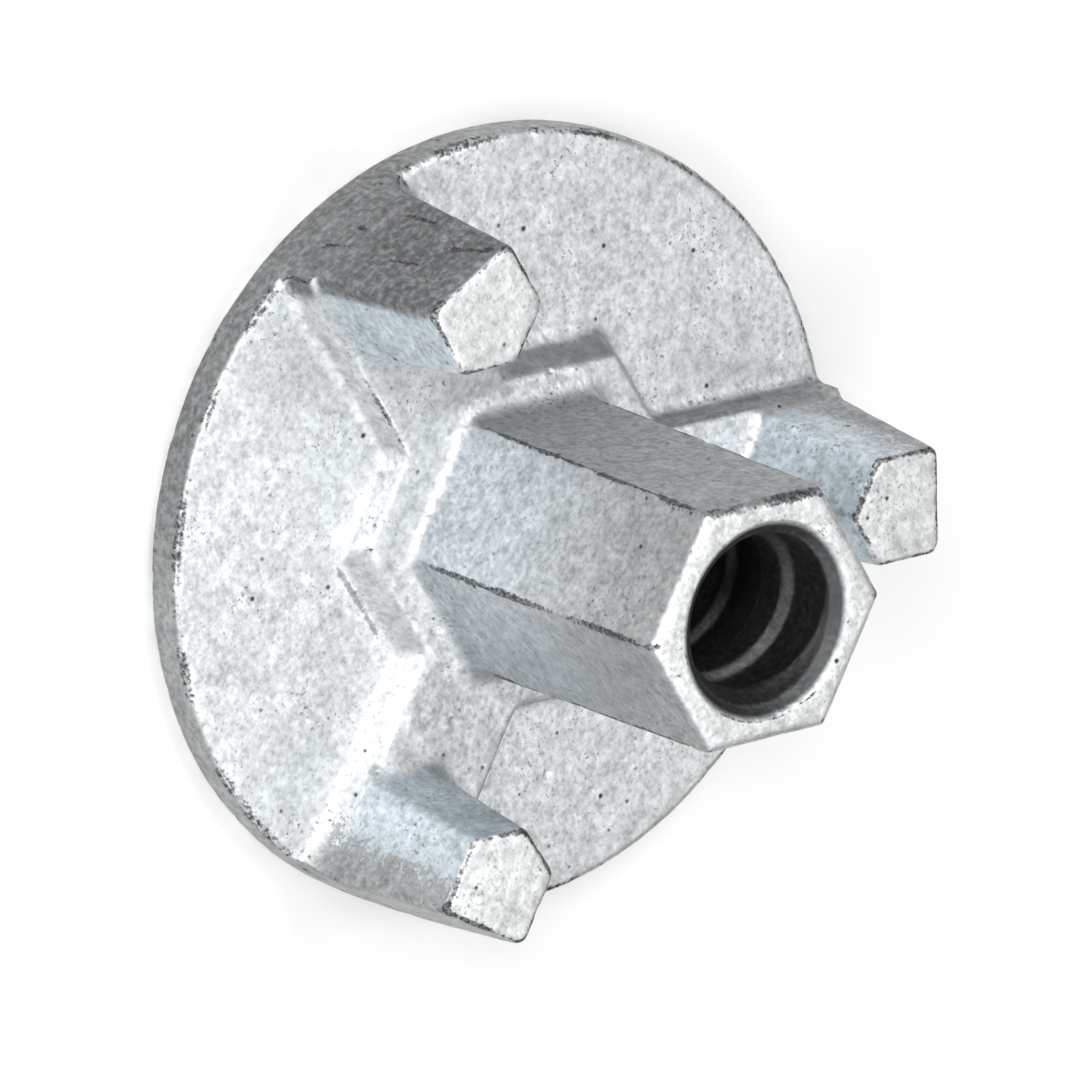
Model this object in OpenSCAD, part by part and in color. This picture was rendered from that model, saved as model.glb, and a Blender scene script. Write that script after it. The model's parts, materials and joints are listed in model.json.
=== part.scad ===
// Wing nut for formwork tie rods, one casting.
// A round anchor plate carries a hexagonal barrel in its middle and three upright
// lugs at its rim. A raised hexagonal pad and three broad ribs join them. The walls
// of pad and ribs that face anticlockwise, seen from above, are steep, and the walls
// that face clockwise are gentle.
// The flat back of the plate lies on the XY plane, and the bore runs along +Z.

/* [Anchor plate] */
// Diameter of the round plate
plate_d = 89; // [80:1:110]
// Thickness of the plate
plate_t = 5.5; // [4:0.5:9]
// Rounding of the two edges of the rim
rim_round = 1.1; // [0.4:0.1:1.8]

/* [Hexagonal barrel] */
// Width across flats at the free end, the spanner size
barrel_af = 27; // [25:0.5:31]
// Height of the whole nut, from the back of the plate to the end of the barrel
nut_h = 52; // [42:1:64]
// Draft of the six flats, in degrees
barrel_draft = 1; // [0.5:0.25:1.75]
// Rounding of the edge at the free end
barrel_end_round = 1.3; // [0.5:0.1:1.6]
// Fillet where the barrel rises from the pad
barrel_foot_fillet = 2; // [1:0.25:2.5]

/* [Threaded bore] */
// Diameter of the bore, measured in the thread roots
bore_d = 18.6; // [16:0.2:19.4]
// Diameter of the mouth at the free end
mouth_d = 22; // [21.6:0.1:22.6]
// Depth of the cone that leads from the mouth into the bore
mouth_depth = 1.6; // [0.8:0.1:4]
// Depth of the chamfer round the bore in the back of the plate
back_chamfer = 1.2; // [0.5:0.1:3]

/* [Raised pad and ribs] */
// Height of the pad and the ribs above the plate
pad_h = 4; // [3:0.25:6]
// Distance from the axis to the steep walls of the pad, on its top
pad_steep = 20; // [18:0.2:21]
// Distance from the axis to the gentle walls of the pad, on its top
pad_gentle = 17.6; // [17:0.2:20]
// Width of a rib from its middle to its steep wall, on its top
rib_steep = 8.4; // [7:0.2:9]
// Width of a rib from its middle to its gentle wall, on its top
rib_gentle = 6.4; // [5:0.2:8.4]
// Draft of the steep walls, in degrees
steep_draft = 2; // [1:1:12]
// Draft of the gentle walls, in degrees
gentle_draft = 33; // [20:1:40]
// Rounding of the upper edge of the walls
pad_crest_round = 0.8; // [0.4:0.1:1.4]
// Fillet at the foot of the walls
pad_foot_fillet = 0.6; // [0.4:0.1:1.4]

/* [Lugs] */
// Number of lugs and ribs
lug_count = 3; // [2:1:3]
// Height of the lugs, from the back of the plate
lug_h = 28.5; // [22:0.5:36]
// Distance of the outer face of a lug from the axis, at its top
lug_outer_r = 42.2; // [39:0.2:42.4]
// Width of a lug at its top, square to the radius
lug_w = 12.6; // [10:0.2:13.4]
// Length of the straight sides of a lug at its top
lug_side = 8.8; // [6:0.2:10]
// How far the blunt nose of a lug reaches inward beyond its sides
lug_nose = 3.4; // [2:0.2:4.4]
// Draft of the outer face and the nose of a lug, in degrees
lug_draft = 5.2; // [3:0.2:6]
// Draft of the two sides of a lug, in degrees
lug_side_draft = 3.5; // [1:0.25:5]
// Rounding of the upright edges of a lug
lug_corner_r = 1.3; // [1:0.1:2.4]
// Rounding of the edge round the top of a lug
lug_top_round = 0.7; // [0.3:0.1:1]
// Fillet where a lug rises from the plate
lug_foot_fillet = 1.2; // [0.6:0.2:3]
// Fillet between the nose of a lug and the top of its rib
lug_nose_fillet = 1.5; // [1:0.25:4]
// How far ribs and lugs stay inside the rim
arm_inset = 0.3; // [0.1:0.1:1]

/* [Hidden] */
// Facets of a full round, and steps in each rounded corner or fillet
round_fn = 144;
arc_steps = 5;
// Angle that a fillet still makes with the face it runs out on
runout = 12;
// How far a form reaches down into the one below it, and a cutter past what it cuts
sunk = 1.5;
past = 1;
overlap = 0.01;

plate_r = plate_d / 2;
pad_top = plate_t + pad_h;

// Points along an arc about [cx, cy], from angle a0 to angle a1
function arc(cx, cy, r, a0, a1, steps = arc_steps) =
    [for (i = [0 : steps]) let (a = a0 + (a1 - a0) * i / steps) [cx + r * cos(a), cy + r * sin(a)]];

// Right-hand outline of a drafted wall of the pad or a rib, from its foot up to its crest.
// reach is its distance on the top. The foot is a concave fillet and the crest is rounded.
function wall_outline(reach, draft) =
    let (
        foot = reach + pad_h * tan(draft),
        foot_x = foot + pad_foot_fillet * tan(45 - draft / 2),
        crest_x = reach - pad_crest_round * tan(45 - draft / 2)
    )
    concat(
        [[foot_x, plate_t - sunk]],
        arc(foot_x, plate_t + pad_foot_fillet, pad_foot_fillet, 270 - runout, 180 + draft),
        arc(crest_x, pad_top - pad_crest_round, pad_crest_round, draft, 90)
    );

// Round plate with rounded rim
module anchor_plate() {
    rotate_extrude($fn = round_fn)
        polygon(concat(
            [[0, 0]],
            arc(plate_r - rim_round, rim_round, rim_round, -90, 0),
            arc(plate_r - rim_round, plate_t - rim_round, rim_round, 0, 90),
            [[0, plate_t]]
        ));
}

// Three walls of the pad as one triangular revolve, with a wall facing the given direction
module pad_walls(reach, draft, facing) {
    outline = concat([[0, plate_t - sunk]], wall_outline(reach, draft), [[0, pad_top]]);
    rotate([0, 0, facing - 60])
        rotate_extrude($fn = 3)
            polygon([for (p = outline) [p[0] / cos(60), p[1]]]);
}

// Hexagonal pad: its gentle and its steep walls alternate
module pad() {
    intersection() {
        pad_walls(pad_gentle, gentle_draft, 30);
        pad_walls(pad_steep, steep_draft, 90);
    }
}

// Barrel as a hexagonal revolve, with its corners on the lug directions.
// The outline is drawn at the middle of a flat and widened to the corners.
module barrel() {
    end_flat = barrel_af / 2;
    fillet_x = end_flat + (nut_h - pad_top) * tan(barrel_draft) + barrel_foot_fillet;
    end_x = end_flat - barrel_end_round;
    outline = concat(
        [[0, plate_t], [fillet_x, plate_t]],
        arc(fillet_x, pad_top + barrel_foot_fillet, barrel_foot_fillet, 270 - runout, 180 + barrel_draft),
        arc(end_x, nut_h - barrel_end_round, barrel_end_round, barrel_draft, 90),
        [[0, nut_h]]
    );
    rotate_extrude($fn = 6)
        polygon([for (p = outline) [p[0] / cos(30), p[1]]]);
}

// Broad rib from the pad out under a lug: its cross-section carried along the radius
module rib() {
    steep = wall_outline(rib_steep, steep_draft);
    gentle = wall_outline(rib_gentle, gentle_draft);
    mirrored = [for (i = [len(gentle) - 1 : -1 : 0]) [-gentle[i][0], gentle[i][1]]];
    rotate([90, 0, 90])
        linear_extrude(height = plate_r)
            polygon(concat(steep, mirrored));
}

// Outline of a lug seen from above: a square outer end and a blunt nose towards the axis.
// drop is the depth below its top, and the draft moves every side outward with it.
// flare moves all sides further out, and nose_flare the two faces of the nose only.
function lug_outline(drop, flare, nose_flare) =
    let (
        grow = drop * tan(lug_draft),
        side_y = lug_w / 2 - lug_corner_r + drop * tan(lug_side_draft),
        nose_turn = atan(2 * lug_nose / lug_w),
        tip_x = lug_outer_r - lug_side - lug_nose,
        nose_x = tip_x + (lug_corner_r - grow - nose_flare) / cos(nose_turn),
        shoulder_x = nose_x + side_y * tan(nose_turn),
        outer_x = lug_outer_r - lug_corner_r + grow,
        r = lug_corner_r + flare
    )
    concat(
        arc(outer_x, side_y, r, 0, 90),
        arc(shoulder_x, side_y, r, 90, 180 - nose_turn),
        arc(nose_x, 0, r, 180 - nose_turn, 180 + nose_turn),
        arc(shoulder_x, -side_y, r, 180 + nose_turn, 270),
        arc(outer_x, -side_y, r, 270, 360)
    );

// How far the drafted faces of a lug have moved outward at a height
function lug_draft_grow(z) = (lug_h - z) * tan(lug_draft);

// Levels of a lug, each as [height, flare, flare of the nose]: the fillet on the plate,
// the fillet of the nose on top of the rib, and the rounded top edge
function lug_levels() =
    let (
        tangent = tan(45 - lug_draft / 2),
        foot_x = lug_draft_grow(plate_t) + lug_foot_fillet * tangent,
        foot = arc(foot_x, plate_t + lug_foot_fillet, lug_foot_fillet, 270 - runout, 180 + lug_draft),
        nose = arc(lug_nose_fillet, pad_top + lug_nose_fillet, lug_nose_fillet, 270 - runout, 180),
        top = arc(-lug_top_round * tangent, lug_h - lug_top_round, lug_top_round, lug_draft, 90 - runout)
    )
    concat(
        [[plate_t - sunk, foot[0][0] - lug_draft_grow(foot[0][1]), nose[0][0]]],
        [for (p = foot) [p[1], p[0] - lug_draft_grow(p[1]), nose[0][0]]],
        [for (p = nose) [p[1], 0, p[0]]],
        [for (p = top) [p[1], p[0] - lug_draft_grow(p[1]), 0]]
    );

// Lug lofted through its levels
module lug() {
    rings = [for (level = lug_levels())
        [for (p = lug_outline(lug_h - level[0], level[1], level[2])) [p[0], p[1], level[0]]]];
    n = len(rings[0]);
    top = len(rings) - 1;
    sides = [for (i = [0 : top - 1]) for (j = [0 : n - 1])
        let (k = (j + 1) % n)
        [i * n + j, (i + 1) * n + j, (i + 1) * n + k, i * n + k]];
    floor_face = [for (j = [0 : n - 1]) j];
    lid = [for (j = [n - 1 : -1 : 0]) top * n + j];
    polyhedron(points = [for (ring = rings) each ring], faces = concat(sides, [floor_face], [lid]));
}

// Rib and lug together, trimmed to a round just inside the rim of the plate
module arm() {
    intersection() {
        union() {
            rib();
            lug();
        }
        cylinder(h = nut_h, r = plate_r - arm_inset, $fn = round_fn);
    }
}

// Bore through barrel and plate, with the cone at its mouth and a chamfer at the back
module bore() {
    translate([0, 0, -past])
        cylinder(h = nut_h + 2 * past, d = bore_d, $fn = round_fn);
    translate([0, 0, nut_h - mouth_depth])
        cylinder(h = mouth_depth + overlap, d1 = bore_d, d2 = mouth_d, $fn = round_fn);
    translate([0, 0, -overlap])
        cylinder(h = back_chamfer + overlap, d1 = bore_d + 2 * back_chamfer, d2 = bore_d, $fn = round_fn);
}

module wing_nut() {
    color("silver")
        difference() {
            union() {
                anchor_plate();
                pad();
                barrel();
                for (i = [0 : lug_count - 1])
                    rotate([0, 0, i * 360 / lug_count])
                        arm();
            }
            bore();
        }
}

wing_nut();
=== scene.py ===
# %% [markdown]
# # A formwork wing nut
# The nut is one iron casting with a zinc coat. A round plate carries a hexagonal barrel, three
# broad ribs run out from the barrel and end in upright lugs, and a coarse thread goes through the
# middle. The solid model already has every size and every drafted wall. What it lacks is the skin
# of a casting: edges that sand can't hold sharp, uneven faces, a rounded thread and the zinc.
# This lesson adds them one at a time, then sets the nut on a pale table under soft light.
#
# First the solid is loaded. The box round it, the plate's radius and the size of the bore are kept,
# because many steps need them. Blender counts in metres, and `MM` lets us speak in millimetres.

# %% Load the solid model
import itertools
import json
import math

import bmesh
import bpy
import numpy as np
from mathutils import Matrix, Vector


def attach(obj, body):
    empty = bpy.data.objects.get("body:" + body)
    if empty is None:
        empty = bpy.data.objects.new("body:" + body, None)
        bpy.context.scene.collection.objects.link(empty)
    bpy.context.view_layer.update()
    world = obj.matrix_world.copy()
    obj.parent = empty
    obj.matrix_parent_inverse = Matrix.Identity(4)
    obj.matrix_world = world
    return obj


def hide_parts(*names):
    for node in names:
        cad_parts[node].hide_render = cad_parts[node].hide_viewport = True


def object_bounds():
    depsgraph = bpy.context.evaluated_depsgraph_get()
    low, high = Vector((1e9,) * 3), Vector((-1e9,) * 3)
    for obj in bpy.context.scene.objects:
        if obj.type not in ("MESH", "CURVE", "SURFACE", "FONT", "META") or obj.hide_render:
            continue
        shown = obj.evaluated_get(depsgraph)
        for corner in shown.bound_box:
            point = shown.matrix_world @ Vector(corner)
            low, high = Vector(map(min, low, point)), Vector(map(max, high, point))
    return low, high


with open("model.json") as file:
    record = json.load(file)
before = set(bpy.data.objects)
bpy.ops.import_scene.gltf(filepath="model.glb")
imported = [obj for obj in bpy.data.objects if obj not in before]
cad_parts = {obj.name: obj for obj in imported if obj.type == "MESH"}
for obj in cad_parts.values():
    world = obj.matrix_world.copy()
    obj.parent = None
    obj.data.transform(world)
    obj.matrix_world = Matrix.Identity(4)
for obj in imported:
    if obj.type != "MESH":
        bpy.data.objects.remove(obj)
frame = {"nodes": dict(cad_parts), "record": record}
box_low, box_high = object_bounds()
MM = 0.001
plate_radius = box_high.x
bore = next(m for m in frame["record"]["mounts"] if m["name"] == "tie_rod_bore")
bore_radius = bore["dims"]["r_mm"] * MM
bore_low = bore["pos_m"][2] - bore["dims"]["length_mm"] * MM / 2
bore_high = bore["pos_m"][2] + bore["dims"]["length_mm"] * MM / 2
print(f"plate {2 * plate_radius / MM:.1f} mm across, nut {box_high.z / MM:.1f} mm high")
print(f"bore radius {bore_radius / MM:.1f} mm, from {bore_low / MM:.1f} to {bore_high / MM:.1f} mm")

# %% [markdown]
# ## The camera
# A long lens from a metre away shows the nut from above its free end, so the plate, the barrel
# and all three lugs can be seen at once. The camera is rolled about its own line of sight: the
# axis of the nut then leans down to the right, the way a nut hangs on a tie rod. A rotation made
# of three directions is easier to follow here than three angles: `backward` points from the nut
# to the camera, and `upward` and `rightward` are the edges of the picture.

# %% Camera directions
camera_azimuth = math.radians(32.58)
camera_elevation = math.radians(50.63)
axis_lean = math.radians(110.79)  # from the picture's up edge, clockwise, to the nut's axis

backward = Vector((
    math.cos(camera_azimuth) * math.cos(camera_elevation),
    math.sin(camera_azimuth) * math.cos(camera_elevation),
    math.sin(camera_elevation),
))
level = Vector((0, 0, 1)).cross(backward).normalized()
upward = backward.cross(level) * math.cos(axis_lean) - level * math.sin(axis_lean)
rightward = upward.cross(backward)
print("the camera looks along", [round(-x, 2) for x in backward])

# %% [markdown]
# The three directions, set side by side as columns, are the camera's turn. Its place is the point
# it aims at, plus the distance along `backward`.

# %% Camera
camera_distance = 1.0273
aim = Vector((-5.0, -2.6, 4.5)) * MM

camera = bpy.data.objects.new("camera", bpy.data.cameras.new("camera"))
camera.data.lens = 310.3
camera.data.sensor_width = 36
camera.data.clip_end = 20
turn = Matrix((rightward, upward, backward)).transposed().to_4x4()
camera.matrix_world = Matrix.Translation(aim + backward * camera_distance) @ turn
bpy.context.scene.collection.objects.link(camera)
bpy.context.scene.camera = camera
print("camera at", [round(x, 3) for x in camera.location])

# %% [markdown]
# ## A copy of the solid
# The solid itself stays as it is, so the skin is worked on a copy. The solid comes as loose
# triangles, each with corners of its own. Merging the corners that share a place makes one closed
# surface of them, which every later step counts on.

# %% Merged copy
def merged_copy(name, source):
    """A new object with the source's mesh, in which points at the same place are one point."""
    mesh = source.data.copy()
    work = bmesh.new()
    work.from_mesh(mesh)
    bmesh.ops.remove_doubles(work, verts=work.verts, dist=0.001 * MM)
    work.to_mesh(mesh)
    work.free()
    piece = bpy.data.objects.new(name, mesh)
    bpy.context.scene.collection.objects.link(piece)
    return piece


casting = merged_copy("casting", frame["nodes"]["wing_nut"])
print("merged copy:", len(casting.data.vertices), "points")

# %% [markdown]
# ## An even net
# The copy has huge triangles on its flat faces and slivers in its fillets, so nothing can be
# pressed into it. Subdividing would multiply the slivers as well. A voxel remesh lays an even net
# over the shape instead, fine enough to keep the small rounding on the lug ends. At the very end
# a decimation takes the points back out where they do no work.

# %% Even net
VOXEL = 0.25 * MM


def apply_modifiers(piece):
    """Makes what the modifiers show the piece's own mesh."""
    graph = bpy.context.evaluated_depsgraph_get()
    shown = bpy.data.meshes.new_from_object(piece.evaluated_get(graph))
    piece.modifiers.clear()
    old = piece.data
    piece.data = shown
    bpy.data.meshes.remove(old)


net = casting.modifiers.new("even net", "REMESH")
net.mode = "VOXEL"
net.voxel_size = VOXEL
apply_modifiers(casting)
print("even net:", len(casting.data.vertices), "points")

# %% [markdown]
# ## Reading the mesh as arrays
# From here on the casting is three arrays: where its points are, which way the surface faces at
# each, and which points are neighbours. Every step below is arithmetic on whole arrays, which is
# far faster than a loop over the points.

# %% Arrays
mesh = casting.data
count = len(mesh.vertices)
points = np.empty(count * 3)
mesh.vertices.foreach_get("co", points)
points = points.reshape(-1, 3)
normals = np.empty(count * 3)
mesh.vertices.foreach_get("normal", normals)
normals = normals.reshape(-1, 3)
edges = np.empty(len(mesh.edges) * 2, dtype=np.int64)
mesh.edges.foreach_get("vertices", edges)
edges = edges.reshape(-1, 2)
neighbours = np.bincount(edges.ravel(), minlength=count)
radius = np.hypot(points[:, 0], points[:, 1])
in_bore = radius < bore_radius + 0.3 * MM
print(count, "points,", len(edges), "edges,", in_bore.sum(), "points in the bore")

# %% [markdown]
# ## First tool: blur
# Almost all of the work needs only three tools. The first evens a value out over the surface, by
# giving each point the average of itself and its neighbours. Done again and again, it spreads
# further, with the square root of the rounds. The value may be anything: a place, a direction or
# a share.

# %% Blur
def blurred(values, rounds):
    """The values after each point took the average of itself and its neighbours, `rounds` times."""
    for _ in range(rounds):
        total = values.copy()
        for column in range(values.shape[1]):
            total[:, column] += np.bincount(edges[:, 0], values[edges[:, 1], column], count)
            total[:, column] += np.bincount(edges[:, 1], values[edges[:, 0], column], count)
        values = total / (neighbours + 1)[:, None]
    return values


moved = np.linalg.norm(blurred(points, 1) - points, axis=1)
print(f"one round of blur moves a point by up to {moved.max() / MM:.2f} mm")

# %% [markdown]
# ## Second tool: smoothstep
# Where one finish ends and the next begins there is no hard line on a casting. `smoothstep` turns
# a number into a share from 0 to 1 with soft ends, so anything can be faded in by it.

# %% Smoothstep
def smoothstep(start, end, values):
    """0 below start, 1 above end, and an S-shaped rise in between: 3 s squared less 2 s cubed."""
    share = np.clip((values - start) / (end - start), 0, 1)
    return share * share * (3 - 2 * share)


print("smoothstep of 0, 1/4, 1/2, 3/4, 1:", smoothstep(0, 1, np.linspace(0, 1, 5)))

# %% [markdown]
# ## Third tool: noise
# Sand leaves no two places alike, yet nearby places are nearly alike. `smooth_noise` gives every
# place in space a number of that kind. It looks places up in a grid of cubes with seeded random
# corners, so it is the same on every run and has no seam where faces meet.

# %% Noise
NOISE_GRID = 64  # corners along each side of the grid, after which the noise repeats


def smooth_noise(places, cell, seed):
    """Noise from -1 to 1. Each corner of a grid of cubes holds a random number, and a place takes
    the eight corners round it, weighted by the smoothstep of where it lies in its cube."""
    corner_values = np.random.default_rng(seed).uniform(-1, 1, (NOISE_GRID,) * 3)
    grid = places / cell
    cube = np.floor(grid).astype(np.int64)
    share = smoothstep(0, 1, grid - cube)
    total = np.zeros(len(places))
    for corner in itertools.product((0, 1), repeat=3):
        weight = np.prod(np.where(corner, share, 1 - share), axis=1)
        x, y, z = ((cube + corner) % NOISE_GRID).T
        total += weight * corner_values[x, y, z]
    return total


print("noise repeats after", NOISE_GRID, "cells")

# %% [markdown]
# ## Edges that sand can't hold
# A crease of the casting is an outer corner of the mould, and damp sand can't hold one: it
# crumbles, and the iron fills the gap with a broad cove. Outer corners of the casting are inner
# corners of the mould and come out much sharper. A bevel would give all of them the same round.
# Blurring the points instead rounds each corner by what it is, and a flat face stays as it was.
# So three blurs are made: a slight one, a narrow one for the crests, and a wide one for the coves
# in the creases. A point that lies well below the widest of them is in a crease.

# %% Three degrees of blur
SLIGHT_BLUR, CREST_BLUR, CREASE_BLUR = 3, 14, 40
slight = blurred(points, SLIGHT_BLUR)
crest = blurred(slight, CREST_BLUR)
cove = blurred(crest, CREASE_BLUR)
sunk = np.einsum("ij,ij->i", cove - points, normals)  # how far a point lies below its cove
crease = blurred(smoothstep(0.05 * MM, 0.4 * MM, sunk)[:, None], 20)
print(f"creases: {np.mean(crease > 0.5):.1%} of the points")

# %% [markdown]
# The lugs and the barrel are dressed on a wheel after casting, so only the low forms get the full
# blur: the pad, the ribs and the roots of the lugs. Higher up, on the plate's rim and on the back,
# the slight blur is enough. The bore isn't softened at all, because the rod needs its clearance.

# %% Soften the cast forms
LOW_FORMS = 11 * MM  # the height below which the pad, the ribs and the roots of the lugs lie
low_forms = 1 - smoothstep(LOW_FORMS, LOW_FORMS + 3 * MM, points[:, 2])
low_forms *= 1 - smoothstep(plate_radius - 3 * MM, plate_radius - 1 * MM, radius)
low_forms *= normals[:, 2] > -0.5
soft = slight + low_forms[:, None] * (crest - slight + crease * (cove - crest))
soft = np.where(in_bore[:, None], points, soft)
print(f"softened by up to {np.linalg.norm(soft - points, axis=1).max() / MM:.2f} mm")

# %% [markdown]
# ## Where the edges and the creases are
# Sharp edges are the first to lose their zinc, and the creases are given a painted shade. They
# could be marked by hand, but the shape tells it too: on an edge the true surface stands proud of
# its blurred copy, in a crease it lies below it, and on a flat face the two agree. So the
# difference, measured along the surface's own direction, is a map of both. On the barrel the
# spanner rubs a broader line, and a wider blur gives the line its width.

# %% Bulge
NARROW_BLUR, WIDE_BLUR = 7, 13
narrow = points - blurred(points, NARROW_BLUR)
wide = points - blurred(points, WIDE_BLUR)
barrel = 1 - smoothstep(16.5 * MM, 17.5 * MM, radius)  # 1 on the barrel and close round its foot
bulge = np.einsum("ij,ij->i", narrow + barrel[:, None] * (wide - narrow), normals)
print(f"bulge from {bulge.min() / MM:.2f} to {bulge.max() / MM:.2f} mm")

# %% [markdown]
# ## Which way each wall looks
# Edges aren't all worn alike, and which way they face says much of it. The blurred direction of
# the surface gives each wall's bearing. The cosine of three times the bearing comes round every
# third of a turn, as the ribs do, so it tells the gentle walls, which meet the top at a blunt edge,
# from the steep ones. The lee side is the side on which the coat paints shade. Little painted
# crease shade stays on its low forms, and at the barrel's free end it is the side that is rubbed.

# %% Bearings
STEEP_BEARING = math.radians(90)  # the steep walls look this way, and a third of a turn on
LEE_BEARING = math.radians(-30)
lean = blurred(normals, 12)
bearing = np.arctan2(lean[:, 1], lean[:, 0])
gentle = (1 - np.cos(3 * bearing - math.radians(270))) / 2  # 270 is 3 times the steep 90
lee = smoothstep(0.7, 0.9, np.cos(bearing - LEE_BEARING)) * (lean[:, 2] < 0.9)
walls = np.abs(lean[:, 2]) < 0.5
print(f"lee side: {np.mean(lee[walls] > 0.5):.1%} of the walls")

# %% [markdown]
# ## What wear passes over
# Each point is given an allowance: a bulge smaller than that doesn't count as an edge. The
# allowance is less on the rim, which is dragged over concrete, and on steep walls. It is more on
# gentle walls, and nothing along the barrel, where the spanner rubs. The barrel's free end is
# spared, but for its lee side.

# %% Allowance
SPARED = 0.03 * MM
rim = smoothstep(plate_radius - 3 * MM, plate_radius - 2 * MM, radius) * (points[:, 2] < 7 * MM)
free_end = smoothstep(49 * MM, 50 * MM, points[:, 2]) * (1 - lee)
spared = SPARED * (1 + low_forms * (2 * gentle - 0.5) - 0.5 * rim)
spared *= 1 - barrel * (1 - free_end)
spared += 0.04 * MM * barrel * free_end
print(f"allowance {spared.min() / MM:.3f} to {spared.max() / MM:.3f} mm")

# %% [markdown]
# The edges of the low forms lie sheltered between the lugs, so they are spared more, except on
# the inner half of the first rib, which was knocked. The painted crease shade keeps off the barrel
# and its foot, and out of the creases of the lee side and of the first rib. With these allowances
# the bulge becomes two maps, and from here on the points are the softened ones.

# %% Edge and hollow maps
EDGE_FROM, EDGE_TO = 0.015 * MM, 0.06 * MM  # the bulge at which a line begins and is whole
faces_steep = np.abs(bearing - STEEP_BEARING) < 0.7
first_rib = faces_steep * smoothstep(10 * MM, 13 * MM, points[:, 0])
knocked = first_rib * (1 - smoothstep(28 * MM, 36 * MM, radius))
edge_spared = spared + 0.05 * MM * low_forms * (1 - 0.85 * knocked)
hollow_spared = spared + 0.06 * MM * barrel + 0.05 * MM * low_forms * np.maximum(lee, first_rib)
edge_map = smoothstep(EDGE_FROM, EDGE_TO, bulge - edge_spared)
hollow_map = smoothstep(EDGE_FROM, EDGE_TO, -bulge - hollow_spared)
points = soft
print(f"edges on {np.mean(edge_map > 0.5):.1%} of the points, "
      f"creases on {np.mean(hollow_map > 0.5):.1%}")

# %% [markdown]
# ## The thread
# The tie rod has a coarse rolled thread with a pitch of 10 mm, and the nut holds it with a rounded
# ridge that winds up the bore to the right. A ridge could be a profile swept along a helix and
# joined to the bore, but here the bore of the solid is already the root of the thread, so its
# points are only pushed inwards and the thread stays part of the one casting.
#
# A screw surface has a simple formula: the ridge stands wherever height divided by pitch, less the
# turn round the axis, comes to the same share of a turn. The push is a bump in that share. It fades
# at both ends, as a core pulled from the mould leaves it.

# %% Thread
THREAD_PITCH = 10 * MM
RIDGE_HEIGHT = 1.15 * MM
RIDGE_TOP = 0.15  # half the flat top of the ridge, as a share of the pitch
RIDGE_FOOT = 0.29  # half its width at the foot

turns = np.arctan2(points[:, 1], points[:, 0]) / (2 * np.pi)
share_of_turn = (points[:, 2] / THREAD_PITCH - turns) % 1
from_middle = np.abs(share_of_turn - 0.5)
ridge = 1 - smoothstep(RIDGE_TOP, RIDGE_FOOT, from_middle)
run_in = smoothstep(bore_low, bore_low + 2.5 * MM, points[:, 2])
run_out = 1 - smoothstep(bore_high - 3 * MM, bore_high, points[:, 2])
push = np.where(in_bore, RIDGE_HEIGHT * ridge * run_in * run_out, 0)
points[:, :2] *= (1 - push / radius)[:, None]
print(f"thread: {np.sum(push > 0.1 * MM)} points moved, ridge down to radius "
      f"{(bore_radius - push.max()) / MM:.2f} mm")

# %% [markdown]
# ## The skin that sand leaves
# A sand mould gives a face unevenness of every width: long gentle waves where the sand gave way
# under the iron, shallow dimples, and grain. Each is noise of its own width and depth, and all of
# it goes inwards, so the casting never grows past the solid. Bump in the material would be
# cheaper, but it leaves the outline of the nut straight, and the outline is where a casting shows.

# %% Waves, dimples and grain
SKIN = (  # width of the noise and how deep it goes, in millimetres
    (8.0, 0.12),
    (3.1, 0.07),
    (1.6, 0.045),
    (0.9, 0.02),
)
depth = np.zeros(count)
for seed, (cell, deepest) in enumerate(SKIN, start=1):
    depth += deepest * MM * (1 + smooth_noise(points, cell * MM, seed)) / 2
print(f"waves, dimples and grain: {depth.mean() / MM:.2f} mm on average")

# %% [markdown]
# Edges are rubbed and knocked, so they lose a little more, in bites: noise of a width of its own,
# taken only where the edge map says. The back and the bore are left smoother, and so are the broad
# coves of the low forms, where the sand had crumbled before the iron came.

# %% Bites out of the edges
BITE_WIDTH, BITE_DEPTH = 1.3 * MM, 0.12 * MM
bites = smoothstep(0.0, 0.8, smooth_noise(points, BITE_WIDTH, len(SKIN) + 1))
depth += BITE_DEPTH * bites * edge_map
calm = np.where(in_bore | (normals[:, 2] < -0.9), 0.35, 1.0)
calm *= 1 - 0.7 * (low_forms * crease[:, 0])
points -= normals * (depth * calm)[:, None]
print(f"skin: up to {(depth * calm).max() / MM:.2f} mm taken off")

# %% [markdown]
# ## Pits
# A few gas holes break the skin of every casting. Each one is a shallow bowl at a random point:
# the depth falls off with the square of the distance from its middle. A high power of the dice
# makes most of them small and only a few large.

# %% Pits
PITS = 60
PIT_LEAST, PIT_MORE = 0.28 * MM, 0.5 * MM
PIT_DEPTH = 0.45  # as a share of the pit's half width
dice = np.random.default_rng(11)
outside = np.flatnonzero((radius > bore_radius + 3 * MM) & (normals[:, 2] > -0.5))
for middle in dice.choice(outside, PITS, replace=False):
    width = PIT_LEAST + PIT_MORE * dice.uniform() ** 4
    gap = np.linalg.norm(points - points[middle], axis=1) / width
    bowl = np.clip(1 - gap**2, 0, 1)
    points -= normals * (bowl * PIT_DEPTH * width)[:, None]
print("pits:", PITS)

# %% [markdown]
# ## Gouges
# Where nuts are tipped into a crate, the lugs take the knocks. A gouge is a groove along a short
# straight line: each point's distance from the line sets how deep it goes, so the groove gets
# round ends and sloping sides by itself. Its floor is bare iron, so it goes on the edge map too.

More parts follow.
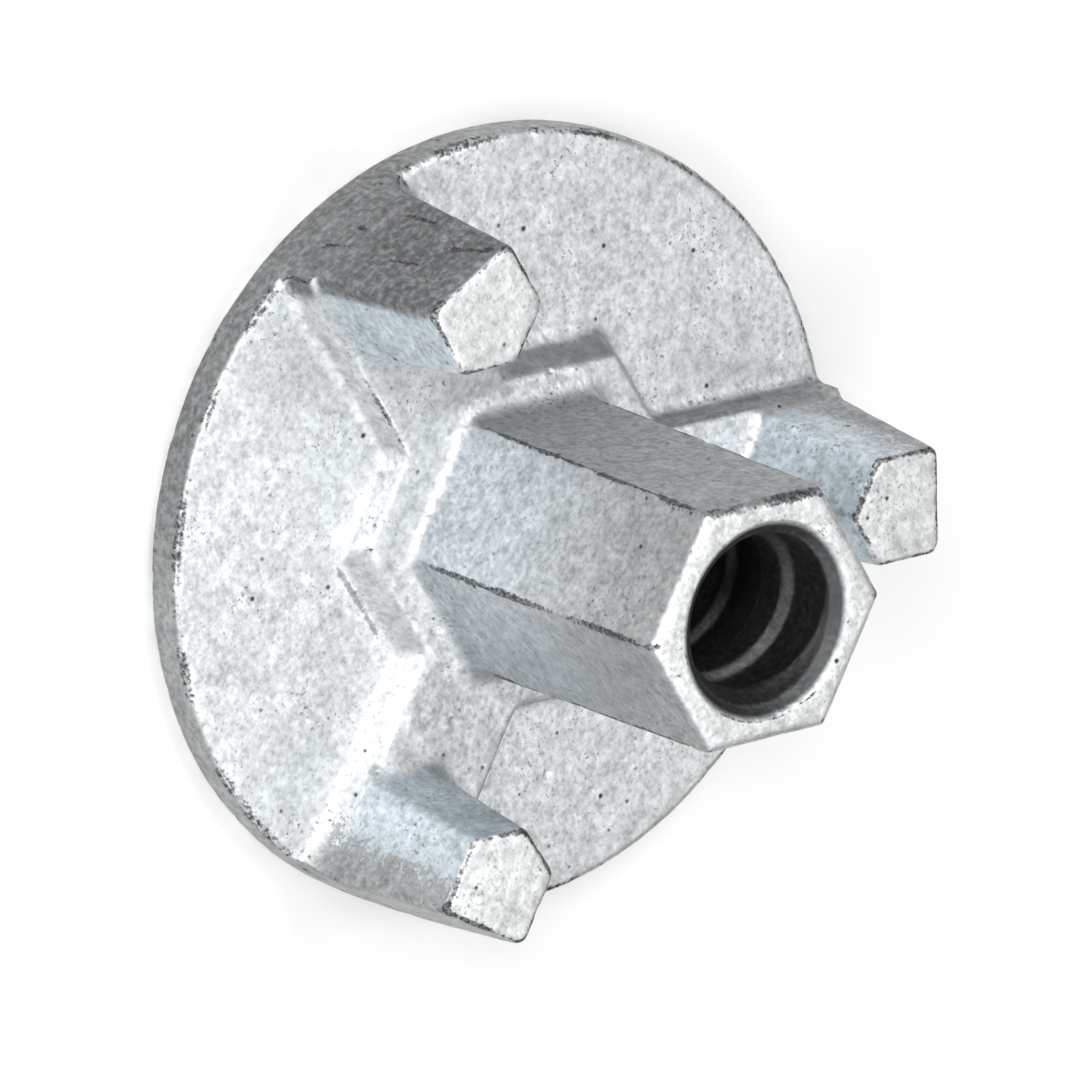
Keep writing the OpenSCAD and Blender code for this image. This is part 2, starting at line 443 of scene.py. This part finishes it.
# %% Gouges
GOUGES = (  # the two ends of the line and a quarter of the groove's width, in millimetres
    ((44.2, -0.4, 9.2), (43.6, -1.6, 14.8), 0.32),
    ((43.6, -4.0, 12.0), (43.0, -4.8, 17.0), 0.26),
    ((43.3, 1.8, 16.5), (42.9, 0.6, 21.5), 0.26),
    ((42.9, -2.5, 22.5), (42.5, -4.2, 27.0), 0.34),
    ((43.8, 3.4, 7.0), (43.6, 2.2, 10.0), 0.28),
    ((42.6, 4.4, 27.6), (42.3, 3.0, 28.5), 0.45),
)
for start, end, width in GOUGES:
    start, end, width = np.array(start) * MM, np.array(end) * MM, width * MM
    along = np.clip((points - start) @ (end - start) / np.sum((end - start) ** 2), 0, 1)
    gap = np.linalg.norm(points - start - along[:, None] * (end - start), axis=1) / (2 * width)
    groove = np.clip(1 - gap**2, 0, 1)
    points -= normals * (groove * 0.5 * width)[:, None]
    edge_map = np.maximum(edge_map, 0.8 * smoothstep(0.3, 0.8, groove))
    print("gouge over", np.sum(groove > 0), "points")

# %% [markdown]
# ## Back to the mesh
# The points go back into the mesh, clipped to the solid's box, so that nothing stands proud of it.
# The two maps go with them as attributes: a number for each point, which the material reads by its
# name. A painted image would need the surface unfolded first, and an attribute doesn't.

# %% Put the arrays back
points = np.clip(points, box_low, box_high)
mesh.vertices.foreach_set("co", points.ravel())
for name, values in (("edge", edge_map), ("hollow", hollow_map)):
    mesh.attributes.new(name, "FLOAT", "POINT").data.foreach_set("value", values)
mesh.update()
lowest, highest = points.min(axis=0) / MM, points.max(axis=0) / MM
print("the skin reaches from", lowest.round(2).tolist(), "to", highest.round(2).tolist(), "mm")

# %% [markdown]
# ## Fewer triangles
# The net has far more points than its flat faces need. Decimation joins points wherever that
# changes the surface least, so what is left gathers on the edges, the fillets and the grain. The
# attributes come along.

# %% Decimate
TRIANGLES = 196000
thin = casting.modifiers.new("thin out", "DECIMATE")
thin.ratio = TRIANGLES / (2 * len(mesh.polygons))
apply_modifiers(casting)
mesh = casting.data
mesh.polygons.foreach_set("use_smooth", np.ones(len(mesh.polygons), bool))
triangles = sum(len(face.vertices) - 2 for face in mesh.polygons)
print("casting:", triangles, "triangles, attributes", [a.name for a in mesh.attributes])

# %% [markdown]
# ## Short names for shader nodes
# A material is a small drawing of boxes and wires. Made in code, every box takes three or four
# lines, which hides what the drawing says. So four helpers come first: `box` adds a node, `wire`
# brings a value or another node's output to a socket, `maths` does one sum, and `rising` turns a
# number into a share from 0 to 1, as smoothstep does for arrays.

# %% Node helpers
def box(tree, kind, settings=None, **inputs):
    """A new node with its settings, and its input sockets filled or wired by name."""
    made = tree.nodes.new(kind)
    for name, value in (settings or {}).items():
        setattr(made, name, value)
    for name, value in inputs.items():
        wire(tree, value, made.inputs[name.replace("_", " ")])
    return made


def wire(tree, value, socket):
    """Links an output to the socket, or sets the socket where the value is a plain one."""
    if isinstance(value, bpy.types.NodeSocket):
        tree.links.new(value, socket)
    else:
        socket.default_value = value


def maths(tree, operation, a, b=0.0, c=0.0, clamp=False):
    """The result of one sum on two or three values."""
    made = box(tree, "ShaderNodeMath", {"operation": operation, "use_clamp": clamp})
    for socket, value in zip(made.inputs, (a, b, c)):
        wire(tree, value, socket)
    return made.outputs[0]


def rising(tree, value, low, high, bottom=0.0, top=1.0):
    """Smoothstep: bottom at low, top at high. It falls where low is greater than high."""
    made = box(tree, "ShaderNodeMapRange", {"interpolation_type": "SMOOTHSTEP"})
    for name, given in (("Value", value), ("From Min", low), ("From Max", high),
                        ("To Min", bottom), ("To Max", top)):
        wire(tree, given, made.inputs[name])
    return made.outputs[0]


print("helpers for nodes:", ", ".join(f.__name__ for f in (box, wire, maths, rising)))

# %% [markdown]
# ## Sand grain
# Zinc on a sand casting glitters in grains. The grain is noise on the place in the object, so it
# neither stretches nor shows a seam. It is needed at many scales, from the fine glitter to pale
# clouds a few millimetres wide, so it is a node group: a box of boxes that is drawn once, has
# sockets of its own, and can be placed as often as it is needed.

# %% Sand grain group
def new_group(name, inputs, outputs):
    """An empty node group with named number inputs and outputs."""
    tree = bpy.data.node_groups.new(name, "ShaderNodeTree")
    for label, value in inputs.items():
        socket = tree.interface.new_socket(label, in_out="INPUT", socket_type="NodeSocketFloat")
        socket.default_value = value
    for label in outputs:
        tree.interface.new_socket(label, in_out="OUTPUT", socket_type="NodeSocketFloat")
    return tree, tree.nodes.new("NodeGroupInput").outputs, tree.nodes.new("NodeGroupOutput").inputs


def placed(tree, group_tree, **inputs):
    """The group as a node of this tree, with its own values. Returns its outputs."""
    return box(tree, "ShaderNodeGroup", {"node_tree": group_tree}, **inputs).outputs


grain, given, out = new_group("sand grain", {"Scale": 1000.0, "Detail": 2.0}, ("Height",))
place = box(grain, "ShaderNodeTexCoord").outputs["Object"]
noise = box(grain, "ShaderNodeTexNoise", Vector=place, Scale=given["Scale"],
            Detail=given["Detail"], Roughness=0.6)
wire(grain, noise.outputs["Fac"], out["Height"])
print("group:", grain.name)

# %% [markdown]
# ## Specks
# Small dark dots lie all over the coat, where a grain of sand burnt in or a bubble opened. Cells
# of a Voronoi pattern give each dot its own place: the middle of a cell is dark out to a radius,
# and the cell's random colour decides whether it has a dot at all, and how large.

# %% Specks group
DOT_EDGE = 12.0  # how sharply a dot ends: it fades over a twelfth of a cell

specks, given, out = new_group("specks", {"Scale": 500.0, "Radius": 0.2, "Share": 0.3}, ("Mask",))
place = box(specks, "ShaderNodeTexCoord").outputs["Object"]
cells = box(specks, "ShaderNodeTexVoronoi", Vector=place, Scale=given["Scale"])
lot = box(specks, "ShaderNodeSeparateColor", Color=cells.outputs["Color"]).outputs[0]
chosen = maths(specks, "LESS_THAN", lot, given["Share"])
own_radius = maths(specks, "MULTIPLY", given["Radius"], maths(specks, "ADD", lot, 0.6))
inside = maths(specks, "SUBTRACT", own_radius, cells.outputs["Distance"])
inside = maths(specks, "MULTIPLY", inside, DOT_EDGE, clamp=True)
wire(specks, maths(specks, "MULTIPLY", inside, chosen), out["Mask"])
print("group:", specks.name)

# %% [markdown]
# ## Broken lines
# Worn edges and the painted shade in the creases are never one even line: they come and go with
# the grain. The group adds noise to a map and keeps what rises past a limit, so a strong edge is
# nearly whole, a weak one is dashes, and a flat face stays clean.

# %% Broken lines group
GRIT_STRENGTH = 2.0  # how much the noise counts beside the map
LINE_EDGE = 0.5  # how far past the limit a line is whole

broken, given, out = new_group("broken lines", {"Map": 0.0, "Scale": 900.0, "Limit": 0.6},
                               ("Mask",))
height = placed(broken, grain, Scale=given["Scale"])["Height"]
centred = maths(broken, "SUBTRACT", height, 0.5)
with_grit = maths(broken, "MULTIPLY_ADD", centred, GRIT_STRENGTH, given["Map"])
past_limit = maths(broken, "ADD", given["Limit"], LINE_EDGE)
wire(broken, rising(broken, with_grit, given["Limit"], past_limit), out["Mask"])
print("group:", broken.name)

# %% [markdown]
# ## Zinc
# The coat is plain metal, so the Principled shader gets Metallic 1, and everything else is in the
# colour, the roughness and the bump. The print of the sand comes first, at four scales: `fine` is
# the glitter, `sand` the grains, `broad` the dimples between them and `cloud` the pale patches.

# %% Zinc: four widths of grain
zinc = bpy.data.materials.new("zinc coat")
zinc.use_nodes = True
tree = zinc.node_tree
shader = tree.nodes["Principled BSDF"]
shader.inputs["Metallic"].default_value = 1.0

fine = placed(tree, grain, Scale=2600.0, Detail=2.0)["Height"]
sand = placed(tree, grain, Scale=1250.0, Detail=2.0)["Height"]
broad = placed(tree, grain, Scale=520.0, Detail=2.0)["Height"]
cloud = placed(tree, grain, Scale=150.0, Detail=2.0)["Height"]
print("zinc coat:", len(tree.nodes), "nodes so far")

# %% [markdown]
# Next the coat has to know where it is. Vertex paint could say so, but the nut's own measures say
# it more plainly: the height of a spot, its distance from the axis, and how far its face looks up.
# A face counts as upright when its direction is nearly level, and gets the painted shade of the
# upright faces when it also rises above the ribs. The direction is the room's, not the nut's own,
# so it holds while the nut rests on its back.

# %% Zinc: place and direction
place = box(tree, "ShaderNodeTexCoord").outputs["Object"]
x, y, z = box(tree, "ShaderNodeSeparateXYZ", Vector=place).outputs
from_axis = maths(tree, "SQRT", maths(tree, "ADD", maths(tree, "MULTIPLY", x, x),
                                      maths(tree, "MULTIPLY", y, y)))
facing = box(tree, "ShaderNodeNewGeometry").outputs["Normal"]
up = box(tree, "ShaderNodeSeparateXYZ", Vector=facing).outputs[2]
upright = rising(tree, maths(tree, "ABSOLUTE", up), 0.85, 0.2)
# Painted shade: upright faces above the ribs get a darker, bluer zinc than the faces that lie.
upright_shade = maths(tree, "MULTIPLY", upright, rising(tree, z, 8 * MM, 11 * MM))
print("zinc coat:", len(tree.nodes), "nodes so far")

# %% [markdown]
# On one side of the nut, round the first lug, the outer skin of rim and lug is painted dark: a
# painted shade, broken by the sand's mottle. On the other lugs the outer skin is thin and frays
# inwards: a splash of noise is added to the distance from the axis, so the line where the skin
# begins wanders in and out by a few millimetres.

# %% Zinc: side of the skin shade, and outer skin
SKIN_SHADE_BEARING = math.radians(18)

from_y = maths(tree, "MULTIPLY", y, math.sin(SKIN_SHADE_BEARING))
toward_skin_shade = maths(tree, "MULTIPLY_ADD", x, math.cos(SKIN_SHADE_BEARING), from_y)
# The side round the first lug, where the outer skin is painted dark as shade.
skin_shade_side = rising(tree, maths(tree, "DIVIDE", toward_skin_shade, from_axis), 0.70, 0.90, 0.1, 1.0)
splash = maths(tree, "MULTIPLY_ADD", maths(tree, "SUBTRACT", sand, 0.5), 14 * MM, 3 * MM)
reach = maths(tree, "MULTIPLY_ADD", maths(tree, "SUBTRACT", 1.0, skin_shade_side), splash, from_axis)
outer_skin = maths(tree, "MULTIPLY", rising(tree, reach, 41 * MM, 42.5 * MM), upright)
print("zinc coat:", len(tree.nodes), "nodes so far")

# %% [markdown]
# Four more masks: the sides of the barrel, the faces that look to the lee side, the low forms,
# and the bore with its mouth, which is painted dark as shade. How far a face looks to the lee side
# is the dot product of two directions: 1 where they agree, 0 where they are square to each other.

# %% Zinc: barrel, lee side, low forms and mouth
barrel_side = maths(tree, "MULTIPLY", rising(tree, from_axis, 19 * MM, 17 * MM), upright)
across = box(tree, "ShaderNodeVectorMath", {"operation": "DOT_PRODUCT"})
wire(tree, facing, across.inputs[0])
wire(tree, (math.cos(LEE_BEARING), math.sin(LEE_BEARING), 0), across.inputs[1])
# The faces that look to the lee side, which the coat paints with shade below.
lee_shade_facing = rising(tree, across.outputs["Value"], 0.6, 0.95)
low_form = maths(tree, "MULTIPLY", rising(tree, z, 11 * MM, 9 * MM),
                 rising(tree, from_axis, 43 * MM, 41 * MM))
mouth = rising(tree, from_axis, 10.9 * MM, 10.3 * MM)
print("zinc coat:", len(tree.nodes), "nodes so far")

# %% [markdown]
# The colour is laid on in thin coats, as a painter would do it, each through its own mask. Upright
# faces above the ribs get a darker, bluer zinc as painted shade, and the faces that look up, high
# on the lugs and the barrel, get a brighter one as painted light. The barrel's sides are painted
# darker as shade, darker still towards the free end, and what looks to the lee side on barrel and
# low forms gets a painted shade too.

# %% Zinc: base coats
# The upright, barrel and lee colours are painted shade, and the top colour is painted light.
LYING_ZINC, UPRIGHT_SHADE_ZINC = (0.76, 0.78, 0.79, 1), (0.59, 0.645, 0.68, 1)
TOP_LIGHT_ZINC = (0.80, 0.815, 0.82, 1)
BARREL_SHADE_FOOT_ZINC, BARREL_SHADE_END_ZINC = (0.56, 0.59, 0.61, 1), (0.37, 0.375, 0.38, 1)
LEE_SHADE_ZINC = (0.36, 0.375, 0.38, 1)


def painted(tree, share, under, over):
    """The colour `over` laid on the colour `under` with the given share."""
    made = box(tree, "ShaderNodeMix", {"data_type": "RGBA"})
    sockets = made.inputs[0], made.inputs[6], made.inputs[7]
    for socket, value in zip(sockets, (share, under, over)):
        wire(tree, value, socket)
    return made.outputs[2]


# Painted shade on the upright faces.
colour = painted(tree, upright_shade, LYING_ZINC, UPRIGHT_SHADE_ZINC)
# Painted light: faces that look up, high on the lugs and the barrel, are coloured brighter.
top_light = maths(tree, "MULTIPLY", rising(tree, z, 20 * MM, 26 * MM), rising(tree, up, 0.8, 0.95))
colour = painted(tree, top_light, colour, TOP_LIGHT_ZINC)
# Painted shade: the barrel's sides are coloured darker, and darker still towards the free end.
barrel_shade_toward_end = rising(tree, z, 22 * MM, 50 * MM)
barrel_shade_zinc = painted(tree, barrel_shade_toward_end, BARREL_SHADE_FOOT_ZINC, BARREL_SHADE_END_ZINC)
colour = painted(tree, barrel_side, colour, barrel_shade_zinc)
# Painted shade: what looks to the lee side on the barrel and the low forms is coloured darker.
painted_lee_shade = maths(tree, "MULTIPLY", lee_shade_facing, maths(tree, "MAXIMUM", barrel_side, low_form))
colour = painted(tree, painted_lee_shade, colour, LEE_SHADE_ZINC)
print("zinc coat:", len(tree.nodes), "nodes so far")

# %% [markdown]
# The outer skin goes over that. It is a grey zinc, painted dark as shade round the first lug,
# though less near the floor and on the high grains.

# %% Zinc: outer skin
SKIN_ZINC, SHADED_SKIN_ZINC = (0.38, 0.39, 0.395, 1), (0.165, 0.17, 0.175, 1)

# Painted shade: the skin round the first lug is darkened, less near the floor and on high grains.
skin_shade = maths(tree, "MULTIPLY", skin_shade_side, rising(tree, sand, 0.75, 0.40, 0.65, 1.0))
skin_shade = maths(tree, "MULTIPLY", skin_shade, rising(tree, z, 2 * MM, 20 * MM, 0.6, 1.0))
outer_zinc = painted(tree, skin_shade, SKIN_ZINC, SHADED_SKIN_ZINC)
colour = painted(tree, outer_skin, colour, outer_zinc)
print("zinc coat:", len(tree.nodes), "nodes so far")

# %% [markdown]
# A mottle of all four widths lies over every coat: it is the print of the sand. It multiplies the
# colour, so a dark coat gets less of it than a bright one. A dense lot of small specks is the grit.

# %% Zinc: mottle and grit
MOTTLE = ((fine, 0.35), (sand, 0.85), (broad, 0.7), (cloud, 0.4))  # each noise and its strength
GRIT = (0.15, 0.15, 0.16, 1)


def shaded(tree, colour, amount):
    """The colour multiplied by the amount."""
    made = box(tree, "ShaderNodeMix", {"data_type": "RGBA", "blend_type": "MULTIPLY"})
    sockets = made.inputs[0], made.inputs[6], made.inputs[7]
    for socket, value in zip(sockets, (1.0, colour, amount)):
        wire(tree, value, socket)
    return made.outputs[2]


mottle = 1.0
for noise, strength in MOTTLE:
    mottle = maths(tree, "MULTIPLY_ADD", maths(tree, "SUBTRACT", noise, 0.5), strength, mottle)
colour = shaded(tree, colour, mottle)
grit = placed(tree, specks, Scale=1300.0, Radius=0.3, Share=0.45)["Mask"]
colour = painted(tree, maths(tree, "MULTIPLY", grit, 0.3), colour, GRIT)
print("zinc coat:", len(tree.nodes), "nodes so far")

# %% [markdown]
# Worn edges show bare iron, and the creases get a painted shade. Both maps go through the broken
# lines.
# `patchy` moves their limit with the clouds, so a line comes and goes in patches, and `rubbed`
# varies how dark the iron is. Without the two, the edges look drawn with a pen.

# %% Zinc: worn edges and painted shade in the creases
# Bare iron is wear; the crease colour is painted shade.
BARE_IRON, CREASE_SHADE = (0.04, 0.042, 0.045, 1), (0.14, 0.145, 0.15, 1)

edge = box(tree, "ShaderNodeAttribute", {"attribute_name": "edge"}).outputs["Fac"]
patchy = rising(tree, cloud, 0.35, 0.65, 0.90, 0.1)
worn = placed(tree, broken, Map=edge, Scale=1900.0, Limit=patchy)["Mask"]
rubbed = rising(tree, fine, 0.35, 0.65, 0.95, 0.55)
colour = painted(tree, maths(tree, "MULTIPLY", worn, rubbed), colour, BARE_IRON)
hollow = box(tree, "ShaderNodeAttribute", {"attribute_name": "hollow"}).outputs["Fac"]
# Painted shade: the creases are darkened, in broken lines like the worn edges.
crease_shade = placed(tree, broken, Map=hollow, Scale=1900.0, Limit=patchy)["Mask"]
colour = painted(tree, maths(tree, "MULTIPLY", crease_shade, 0.6), colour, CREASE_SHADE)
print("zinc coat:", len(tree.nodes), "nodes so far")

# %% [markdown]
# Last come the larger dark dots, and a painted shade over the bore with its mouth and its thread.

# %% Zinc: dots and mouth
# The dots are the coat's own; the mouth colour is painted shade.
DOT, MOUTH_SHADE = (0.06, 0.06, 0.065, 1), (0.10, 0.102, 0.105, 1)

dots = placed(tree, specks, Scale=350.0, Radius=0.13, Share=0.6)["Mask"]
colour = painted(tree, dots, colour, DOT)
# Painted shade: the bore, its mouth and its thread are coloured nearly black.
colour = painted(tree, mouth, colour, MOUTH_SHADE)
wire(tree, colour, shader.inputs["Base Color"])
print("zinc coat:", len(tree.nodes), "nodes so far")

# %% [markdown]
# The zinc is frosted rather than bright, and its grains differ a little, so the roughness follows
# the sand's print. Two bumps carry the grain that is too small for the mesh.

# %% Zinc: roughness and bump
wire(tree, rising(tree, sand, 0.7, 0.25, 0.48, 0.64), shader.inputs["Roughness"])
print_of_sand = box(tree, "ShaderNodeBump", Distance=0.05 * MM, Height=sand)
dimples = box(tree, "ShaderNodeBump", Distance=0.12 * MM, Height=broad,
              Normal=print_of_sand.outputs["Normal"])
wire(tree, dimples.outputs["Normal"], shader.inputs["Normal"])
print("zinc coat:", len(tree.nodes), "nodes")

# %% [markdown]
# ## The casting takes the solid's place
# The casting gets its coat, rides on the nut's one body, and hides the plain solid, which stays
# behind it for collision.

# %% Place the casting
mesh.materials.clear()
mesh.materials.append(zinc)
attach(casting, "root")
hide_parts("wing_nut")
print(casting.name, "is coated with", mesh.materials[0].name)

# %% [markdown]
# ## The floor
# A pale table gives the nut something to stand on and takes its shadow. Seen by the camera or in
# the zinc it glows a little of its own, so it reads as white without more light on the nut, and
# the part that doesn't glow still darkens under the plate.

# %% Floor material
FLOOR_GLOW = 0.25

floor_coat = bpy.data.materials.new("floor")
floor_coat.use_nodes = True
tree = floor_coat.node_tree
shader = tree.nodes["Principled BSDF"]
shader.inputs["Base Color"].default_value = (0.95, 0.95, 0.95, 1)
shader.inputs["Roughness"].default_value = 0.9
shader.inputs["Specular IOR Level"].default_value = 0.0
path = box(tree, "ShaderNodeLightPath").outputs
seen = 0.0
for kind in ("Is Camera Ray", "Is Glossy Ray", "Is Transmission Ray"):
    seen = maths(tree, "MAXIMUM", seen, path[kind])
glow = box(tree, "ShaderNodeEmission", Color=(1, 1, 1, 1), Strength=1.0)
mix = box(tree, "ShaderNodeMixShader")
share = maths(tree, "MULTIPLY", seen, FLOOR_GLOW)
for socket, value in zip(mix.inputs, (share, shader.outputs[0], glow.outputs[0])):
    wire(tree, value, socket)
wire(tree, mix.outputs[0], tree.nodes["Material Output"].inputs["Surface"])
print("floor:", len(tree.nodes), "nodes")

# %% [markdown]
# The floor is one square, large enough to fill the view behind the nut from any side and any fair
# height.

# %% Floor
FLOOR_HALF = 3.0
CORNERS = ((-1, -1), (1, -1), (1, 1), (-1, 1))

floor_mesh = bpy.data.meshes.new("floor")
floor_points = [(across * FLOOR_HALF, along * FLOOR_HALF, 0) for across, along in CORNERS]
floor_mesh.from_pydata(floor_points, [], [(0, 1, 2, 3)])
floor_mesh.materials.append(floor_coat)
floor = bpy.data.objects.new("floor", floor_mesh)
bpy.context.scene.collection.objects.link(floor)
print("floor:", 2 * FLOOR_HALF, "m square")

# %% [markdown]
# ## Soft light from many sides
# Frosted metal shows the light around it more than its own colour, so one lamp would leave half
# of the nut black. A row of large discs at arm's length lights the plate and the ends of the
# lugs. Small discs close to the nut give each sector a brightness of its own, as reflectors held
# near a small thing do. Each lamp is given by the direction in which it stands.

# %% Lamps
LAMPS = (  # name, direction from the nut, distance and width in metres, power in watts
    ("overhead left", (-0.25, 0.23, 0.94), 1.0, 0.45, 0.12),
    ("overhead right", (0.04, -0.43, 0.90), 1.0, 0.45, 1.52),
    ("far side", (-0.55, -0.10, 0.83), 1.0, 0.45, 0.89),
    ("far right", (-0.32, -0.62, 0.71), 1.0, 0.45, 0.23),
    ("far left", (-0.71, 0.29, 0.63), 1.0, 0.45, 0.20),
    ("front right", (0.52, -0.33, 0.79), 1.0, 0.45, 3.45),
    ("front", (0.69, 0.25, 0.67), 1.0, 0.45, 3.35),
    ("front left", (0.25, 0.79, 0.56), 1.0, 0.45, 1.50),
    ("reflector above", (-0.25, 0.00, 0.97), 0.35, 0.16, 0.12),
    ("reflector above left", (-0.30, 0.51, 0.81), 0.30, 0.14, 0.17),
    ("reflector front", (0.62, 0.60, 0.50), 0.35, 0.16, 0.21),
    ("reflector low front", (0.85, 0.46, 0.27), 0.30, 0.14, 0.055),
    ("reflector far side", (-0.61, -0.51, 0.61), 0.35, 0.16, 0.05),
    ("reflector left", (-0.51, 0.76, 0.41), 0.35, 0.16, 0.13),
)
for name, direction, distance, width, power in LAMPS:
    light = bpy.data.lights.new(name, "AREA")
    light.shape = "DISK"
    light.size = width
    light.energy = power
    lamp = bpy.data.objects.new(name, light)
    direction = Vector(direction).normalized()
    lamp.location = direction * distance
    lamp.rotation_euler = direction.to_track_quat("Z", "Y").to_euler()
    lamp.visible_camera = False
    bpy.context.scene.collection.objects.link(lamp)
print(len(LAMPS), "lamps,", round(sum(row[4] for row in LAMPS), 2), "W")

# %% [markdown]
# ## The light of the room
# No room is black between its lamps. A faint even light from the world fills the deepest corners
# just enough to show their shape. The Standard view then shows colours as they are written.

# %% World and view
WORLD_LIGHT = 0.03

world = bpy.data.worlds.new("world")
bpy.context.scene.world = world
world.use_nodes = True
background = world.node_tree.nodes["Background"]
background.inputs["Color"].default_value = (1, 1, 1, 1)
background.inputs["Strength"].default_value = WORLD_LIGHT
bpy.context.scene.view_settings.view_transform = "Standard"
print("world light:", WORLD_LIGHT)
